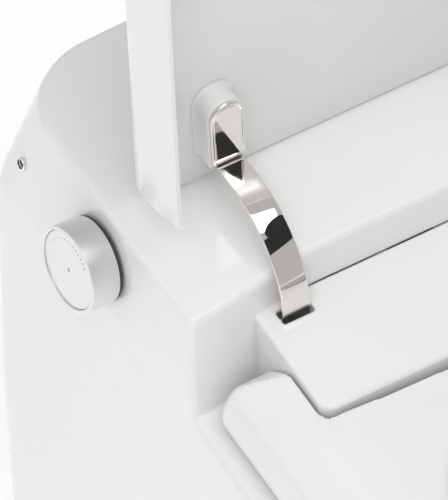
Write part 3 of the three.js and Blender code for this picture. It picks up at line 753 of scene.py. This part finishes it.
def lid_half(inset, rear_inset):
    """Left half of the lid's outline, from the middle of its hinge end to its front."""
    corner = 4.0
    half, rear = LID["half"] - inset, -LID["rear"] - rear_inset
    points = [(-t, rear) for t in np.linspace(0, half - corner, REAR_COLUMNS, endpoint=False)]
    for turn in np.radians(np.linspace(90, 180, 9)):
        points.append((corner - half + corner * math.cos(turn), rear - corner + corner * math.sin(turn)))
    start = -LID["rear"] - LID["straight"]
    for t in np.linspace(0, 1, 15)[1:-1]:
        points.append((-half, (rear - corner) * (1 - t) + start * t))
    length = LID["length"] - LID["straight"] - inset
    for t in np.linspace(0, 1, 73):
        turn = math.pi / 2 * (t**1.12 if t < 1 else 1)
        across = 0 if t == 1 else math.cos(turn) ** (2 / FRONT_POWER)
        points.append((-half * across, start - length * math.sin(turn) ** (2 / FRONT_POWER)))
    return points


def ring_at(half_points, z):
    """A whole outline at one height from its left half."""
    right = [(-x, y) for x, y in half_points[-2:0:-1]]
    return np.array([(x, y, z) for x, y in half_points + right])


def lid_shell():
    """Tray-shaped shell: a side wall that rolls over into a flat top, with its hinge end open."""
    side = [(6.1, 0, LID["rim"]), (2.5, 0, 0), (0.2, 0, 18), (1.2, 0, 28), (3.2, 1, 33), (6, 3.5, 36.8)]
    roll = [(13, 8, 40.4), (24, 18, 41.5), (40, 30, 42)]
    levels = smooth_path(side + roll)
    rings = [ring_at(lid_half(inset, rear), z) for inset, rear, z in levels]
    rings += shrunk(rings[-1], (0.8, 0.55, 0.3, 0.1))
    points, faces = skin(rings, cap_high=True)
    count = len(rings[0])
    open_levels = sum(z < PLATE_LOW for _, _, z in levels)
    kept = []
    for number, face in enumerate(faces):
        level, column = divmod(number, count)
        at_rear = column < REAR_COLUMNS or column >= count - REAR_COLUMNS
        if level < open_levels and at_rear:
            continue
        kept.append(face)
    mesh = mesh_from("lid_shell_skin", points, kept)
    cleaner = bmesh.new()
    cleaner.from_mesh(mesh)
    loose = [v for v in cleaner.verts if not v.link_faces]
    bmesh.ops.delete(cleaner, geom=loose, context="VERTS")
    cleaner.to_mesh(mesh)
    cleaner.free()
    piece = piece_of("lid_shell_skin", mesh, "lid", "lid", ["lid_shell"])
    in_lid(piece)
    thick = piece.modifiers.new("wall", "SOLIDIFY")
    thick.thickness = 3.4 * MM
    thick.offset = -1
    return bevelled(piece, 1.1, 3, 45)


def panel_outline(inset, z):
    """The inner panel's outline: the tray's inside, with the flap between the side walls."""
    rear = -LID["rear"] - 0.5 - inset
    half = lid_half(10.4 + inset, 0.5 + inset)
    beside = [(x, y) for x, y in half if x < -FLAP["half"] or y < rear - 5]
    return ring_at(flap_half(inset, rear) + beside, z)


def lid_panel():
    """Inner panel with a rounded edge on the side that faces the seat."""
    low, high, edge = 35, 38.0, 1.4
    steps = [(edge + 0.6, high), (0, high), (0, low + edge)]
    steps += [(edge * 0.3, low + edge * 0.3), (edge, low)]
    rings = [panel_outline(inset, z) for inset, z in steps]
    rings = shrunk(rings[0], [0.5]) + rings + shrunk(rings[-1], (0.9, 0.6, 0.3))
    points, faces = skin(rings, cap_low=True, cap_high=True)
    mesh = mesh_from("lid_panel", points, [face[::-1] for face in faces])
    return in_lid(piece_of("lid_panel", mesh, "lid", "lid", ["lid_inner_panel"], material=LID_PAINTED_SHADE))


def lid_rear_plate():
    """The top plate's rear edge, which reaches over the deck."""
    rings = []
    for inset, z in ((0.4, 38.45), (0, 38.8), (0, 40.4), (0.4, 41.3), (1.2, 41.85), (2.6, 42.0)):
        front = -FLAP["front"]
        rings.append(ring_at(flap_half(inset, front) + [(0, front)], z))
    mesh = mesh_from("lid_rear_plate", *skin(rings, cap_low=True, cap_high=True))
    return in_lid(piece_of("lid_rear_plate", mesh, "lid", "lid"))


def arch(x, half, low, high):
    """Outline that is square at the hinge end and round at the other, counter-clockwise."""
    points = [(x - half, -low - t * (high - half - low)) for t in np.linspace(0, 1, 12, endpoint=False)]
    for turn in np.linspace(math.pi, 2 * math.pi, 29):
        points.append((x + half * math.cos(turn), -high + half + half * math.sin(turn)))
    points += [(x + half, -low - t * (high - half - low)) for t in np.linspace(1, 0, 13)[1:]]
    points += [(x + half - t * 2 * half, -low) for t in np.linspace(0, 1, 8)[1:-1]]
    return points


def arch_rings(side, steps, low):
    """Rings of (inset, height) for an arch-shaped plate on the lid's inner face."""
    rings = []
    for inset, z in steps:
        outline = arch(side * ARM_X, PLAQUE_HALF - inset, low + inset, PLAQUE_HIGH - inset)
        rings.append(np.array([(x, y, z) for x, y in outline]))
    return rings


def hinge_boss(name, side):
    """Moulded boss on the inner panel that carries the plaque."""
    steps = [(-3.6, 34.75), (-2.3, 33.9), (-1.6, 32.3), (-1.25, 29), (-1.2, 20.5)]
    steps += [(-0.9, 19.2), (0.2, 18.5), (3, 18.5), (9, 18.5)]
    rings = arch_rings(side, steps, LID["rear"] + 0.3)
    for ring in rings:
        ring[:, 1] = np.minimum(ring[:, 1], -LID["rear"] - 0.3)
    points, faces = skin(rings, cap_high=True)
    mesh = mesh_from(f"boss_{name}", points, [face[::-1] for face in faces])
    nodes = [f"hinge_boss_{name}"]
    return in_lid(piece_of(f"boss_{name}", mesh, "lid", "lid", nodes, material=LID_PAINTED_SHADE))


def hinge_plaque(name, side):
    """Chrome plate with a bevelled edge and a raised, flat field inside a fine groove."""
    steps = [(0, 18.2), (0, 16.9), (0.25, 16.4), (0.7, 16.1), (1.5, 16.0), (1.62, 16.25)]
    steps += [(1.95, 16.3), (2.1, 16.05), (2.3, 15.95), (3.2, 15.9), (8, 15.9), (11.2, 15.9)]
    rings = arch_rings(side, steps, 65.3)
    points, faces = skin(rings, cap_high=True)
    mesh = mesh_from(f"plaque_{name}", points, [face[::-1] for face in faces])
    return in_lid(piece_of(f"plaque_{name}", mesh, "chrome", "lid", [f"hinge_plaque_{name}"]))


def strap_section(width, thick, edge):
    """Rounded rectangle of a flat strap, across X and outward."""
    corners = []
    for cx, cy, first in (
        (width / 2 - edge, thick - edge, 0),
        (-width / 2 + edge, thick - edge, 90),
        (-width / 2 + edge, edge, 180),
        (width / 2 - edge, edge, 270),
    ):
        for turn in np.radians(np.linspace(first, first + 90, 5)):
            corners.append((cx + edge * math.cos(turn), cy + edge * math.sin(turn)))
    return corners


ARM = {"width": 20.0, "edge": 0.7, "sweep": 115.0, "spoke": 7.0}
HUB = {"bore": 5.3, "radius": 10.0, "half": 10.0, "edge": 0.8}
ARM_START = 90 - LID_OPEN_DEG


def arm_strap(x):
    """Strap that stands straight out of the plaque and then bends round the lid's axis."""
    section = strap_section(ARM["width"], ARM_OUTER - ARM_INNER, ARM["edge"])
    rings = []
    for lead in (18.2, 12.0, 6.0):
        rings.append([(x + u, -ARM_INNER - v, lead) for u, v in section])
    for turn in np.radians(np.linspace(ARM_START, ARM_START - ARM["sweep"], 76)):
        ring = []
        for u, v in section:
            reach = ARM_INNER + v
            ring.append((x + u, -reach * math.cos(turn), reach * math.sin(turn)))
        rings.append(ring)
    return skin(rings, cap_low=True, cap_high=True)


def arm_spoke(x):
    """Spoke from the hub to the strap's far end, behind the cover."""
    end = math.radians(ARM_START - ARM["sweep"] + 4.5)
    ahead = np.array([-math.cos(end), math.sin(end)])
    across = np.array([-math.sin(end), -math.cos(end)])
    rings = []
    for reach in np.linspace(7, ARM_INNER + 0.8, 8):
        ring = []
        for u, v in strap_section(ARM["width"], ARM["spoke"], ARM["edge"]):
            place = ahead * reach + across * (v - ARM["spoke"] / 2)
            ring.append((x + u, place[0], place[1]))
        rings.append(ring)
    return skin(rings, cap_low=True, cap_high=True)


def arm_hub(x):
    """Hub round the lid's axle, with chamfered rims."""
    bore, radius, half, edge = (HUB[key] for key in ("bore", "radius", "half", "edge"))
    profile = [(bore, -half), (radius - edge, -half), (radius, edge - half), (radius, half - edge)]
    profile += [(radius - edge, half), (bore, half), (bore, -half)]
    turns = np.linspace(0, 2 * np.pi, 40, endpoint=False)
    return skin([[(x + u, r * math.cos(t), r * math.sin(t)) for t in turns] for r, u in profile])


def hinge_arm(name, side):
    """Curved chrome strap about the lid's axis, with its spoke and hub behind the cover."""
    x = side * ARM_X
    mesh = merged(f"arm_{name}", [arm_strap(x), arm_spoke(x), arm_hub(x)])
    tidy = bmesh.new()
    tidy.from_mesh(mesh)
    bmesh.ops.recalc_face_normals(tidy, faces=tidy.faces)
    tidy.to_mesh(mesh)
    tidy.free()
    return in_lid(piece_of(f"arm_{name}", mesh, "chrome", "lid", [f"hinge_arm_{name}"]))


# ---------------------------------------------------------------- knob

KNOB_MATRIX = Matrix.Translation(Vector(KNOB_SPOT) * MM) @ KNOB_TILT.to_matrix().to_4x4()


DIAL_TOP = KNOB_HEIGHT - 1.0
DOTS = {"count": 15, "radius": 22.0, "first": 75.0, "apart": 8.5, "size": 0.42, "growth": 0.035}


def knob_grip():
    """Metal ring that turns, as a rounded profile about local Z."""
    bore, inner, floor = 9.2, KNOB_RADIUS - 2.5, 8
    outside = [(bore, floor), (bore, 2), (KNOB_RADIUS, 2), (KNOB_RADIUS, KNOB_HEIGHT)]
    inside = [(inner, KNOB_HEIGHT), (inner, floor), (bore, floor)]
    mesh = merged("knob_grip", [skin(lathe(rounded_profile(outside + inside, 0.8), 128))])
    piece_of("knob_grip", mesh, "aluminium", "knob_turn_ring", ["knob_ring"], KNOB_MATRIX)


def knob_dial():
    """White face that presses in, inside the ring."""
    outer, low = KNOB_RADIUS - 2.8, DIAL_TOP - 3
    corners = [(8.3, 10), (8.3, low), (outer, low), (outer, DIAL_TOP), (0.5, DIAL_TOP)]
    rings = lathe(rounded_profile(corners, 0.6), 128)
    mesh = merged("knob_dial", [skin(rings, cap_low=True, cap_high=True)])
    piece_of("knob_dial", mesh, "knob_face", "knob_push_face", ["knob_face"], KNOB_MATRIX)


def knob_seat():
    """Dark disc behind the ring, with a stem into the flank."""
    bore, stem, disc, thick, deep = 3.3, 7.4, 29.7, 1.7, -22
    corners = [(bore, deep), (stem, deep), (stem, 0), (disc, 0), (disc, thick), (bore, thick), (bore, deep)]
    mesh = merged("knob_seat", [skin(lathe(rounded_profile(corners, 0.3), 96))])
    piece_of("knob_seat", mesh, "dark_plastic", "base", ["knob_base"], KNOB_MATRIX)


def knob_marks():
    """A dot in the dial's middle, and an arc of dots that grow round its edge."""
    marks = [(0.0, 0.0, 1.5)]
    for number in range(DOTS["count"]):
        turn = math.radians(DOTS["first"] - DOTS["apart"] * number)
        size = DOTS["size"] + DOTS["growth"] * number
        marks.append((DOTS["radius"] * math.cos(turn), DOTS["radius"] * math.sin(turn), size))
    parts = []
    for x, y, size in marks:
        profile = [(size, DIAL_TOP - 0.2), (size, DIAL_TOP + 0.02), (size * 0.8, DIAL_TOP + 0.05)]
        rings = [ring + (x, y, 0) for ring in lathe(profile, 20)]
        parts.append(skin(rings, cap_low=True, cap_high=True))
    mesh = merged("knob_marks", parts)
    piece_of("knob_marks", mesh, "knob_face", "knob_push_face", place=KNOB_MATRIX, material=DOT_GREY)


def fixing_caps():
    """Chrome rings round the recessed heads of the rear fixing screws."""
    inner, outer = 3.5, 4.6
    corners = [(inner, -0.4), (inner, 0.9), (4.1, 1.0), (outer, 0.5), (outer, -0.6), (inner, -0.6)]
    profile = rounded_profile(corners, 0.25)
    for name, side in SIDES:
        low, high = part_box(f"fixing_cap_{name}")
        turn = Euler((0, side * math.radians(78), 0)).to_matrix().to_4x4()
        place = Matrix.Translation((low + high) / 2) @ turn
        mesh = mesh_from(f"cap_{name}", *skin(lathe(profile, 48)))
        piece_of(f"cap_{name}", mesh, "chrome", "base", [f"fixing_cap_{name}"], place)


# ---------------------------------------------------------------- the pieces

implicit_piece(
    "ceramic_shell", ceramic_field, (-202, -636, -4), (202, 26, 502), 3.4, "ceramic", "base",
    ["ceramic_body"],
)
implicit_piece(
    "hinge_cover_shell", cover_field, (-133, -304, 400), (133, -204, 468), 1.5, "lacquer", "base",
    ["hinge_cover"],
)
implicit_piece(
    "seat_top", seat_field, (-187, -634, 403), (187, -224, 464), 2.2, "seat", "seat", ["seat_ring"]
)
implicit_piece(
    "seat_under", seat_base_field, (-182, -630, 400), (182, -238, 410), 1.9, "seat", "seat",
    ["seat_base"],
)
lid_shell()
lid_rear_plate()
lid_panel()
for side_name, side_sign in SIDES:
    hinge_boss(side_name, side_sign)
    hinge_plaque(side_name, side_sign)
    hinge_arm(side_name, side_sign)
knob_grip()
knob_dial()
knob_seat()
knob_marks()
fixing_caps()

# Every CAD node that still shows gets its slot's finish, and softened edges where they are hard.
slot_of = {row["node"]: row["material_slot"] for row in frame["record"]["subparts"]}
for node_name, node in frame["nodes"].items():
    node.data.materials.clear()
    node.data.materials.append(MATERIALS[slot_of[node_name]])
    if not node.hide_render:
        bevelled(node, 0.5, 2, 40)

# ---------------------------------------------------------------- studio


def stage_plane(name, size, place, turn, material, corners=4):
    """A flat polygon: a rectangle, or an oval when it has many corners."""
    mesh = bpy.data.meshes.new(name)
    reach = 0.5 / math.cos(math.pi / corners)
    turns = [(2 * i + 1) * math.pi / corners for i in range(corners)]
    points = [(size[0] * reach * math.cos(t), size[1] * reach * math.sin(t), 0) for t in turns]
    mesh.from_pydata(points, [], [range(corners)])
    plane = bpy.data.objects.new(name, mesh)
    plane.location = place
    plane.rotation_euler = turn
    mesh.materials.append(material)
    bpy.context.scene.collection.objects.link(plane)
    return plane


def facing(place, target):
    """Turn that points local -Z from a place to a target."""
    return (Vector(target) - Vector(place)).to_track_quat("-Z", "Y").to_euler()


def soft_box(name, place, target, size, power):
    """A white rectangular light that the camera doesn't see."""
    data = bpy.data.lights.new(name, "AREA")
    data.shape = "RECTANGLE"
    data.size, data.size_y = size
    data.energy = power
    light = bpy.data.objects.new(name, data)
    light.location = place
    light.rotation_euler = facing(place, target)
    light.visible_camera = False
    bpy.context.scene.collection.objects.link(light)
    return light


def floor_material():
    graph = Graph("floor_pale", (0.93, 0.93, 0.93), 0.6)
    graph.tint(graph.noise(3.0), (0.92, 0.92, 0.92))
    graph.shader.inputs["Emission Color"].default_value = (1, 1, 1, 1)
    graph.shader.inputs["Emission Strength"].default_value = 0.37
    return graph.material


def card_material():
    graph = Graph("card_dark", (0.01, 0.011, 0.016), 0.8)
    graph.tint(graph.noise(2.0), (0.012, 0.013, 0.02))
    return graph.material


CARD = card_material()


def mirrored_card(name, start, direction, reach, size, corners=4):
    """A dark card, square or round, that shows in polished metal only."""
    place = Vector(start) + Vector(direction).normalized() * reach
    card = stage_plane(name, size, place, facing(place, start), CARD, corners)
    card.visible_camera = False
    card.visible_diffuse = False
    card.visible_shadow = False
    card.visible_transmission = False


ARM_SPOT = (-0.13, -0.18, 0.49)
PLAQUE_SPOT = (-0.1055, -0.1375, 0.528)
stage_plane("floor", (12, 12), (0, 0, -0.0005), (0, 0, 0), floor_material())
mirrored_card("dark_card", ARM_SPOT, (0.31, -0.645, 0.66), 1.5, (1.3, 0.46))
mirrored_card("dark_patch", PLAQUE_SPOT, (0.36, -0.53, 0.77), 0.7, (0.32, 0.2), 48)

soft_box("overhead", (-0.15, -0.78, 2.3), (-0.1, -0.2, 0.4), (1.9, 0.75), 12)
soft_box("left_side", (-1.7, 0.6, 1.7), (-0.1, -0.1, 0.4), (1.6, 1.6), 3.5)
fill = soft_box("fill", (-0.75, -1.3, 2.1), (-0.1, -0.2, 0.4), (1.4, 1.4), 7.5)
fill.visible_glossy = False

world = bpy.data.worlds.new("studio")
world.use_nodes = True
sky = world.node_tree.nodes["Background"]
sky.inputs["Color"].default_value = (1.0, 0.995, 0.99, 1)
sky.inputs["Strength"].default_value = 0.5
bpy.context.scene.world = world
bpy.context.scene.view_settings.view_transform = "Standard"

# ---------------------------------------------------------------- camera

AZIMUTH, ELEVATION = math.radians(-30.3), math.radians(52.0)
FAR = 10.2
camera_data = bpy.data.cameras.new("camera")
camera_data.lens = 1152
camera_data.sensor_width = 36
camera = bpy.data.objects.new("camera", camera_data)
bpy.context.scene.collection.objects.link(camera)
target = Vector((-0.131, -0.174, 0.492))
back = Vector(
    (
        math.sin(AZIMUTH) * math.cos(ELEVATION),
        -math.cos(AZIMUTH) * math.cos(ELEVATION),
        math.sin(ELEVATION),
    )
)
camera.location = target + back * FAR
camera.rotation_euler = (-back).to_track_quat("-Z", "Y").to_euler()
bpy.context.scene.camera = camera
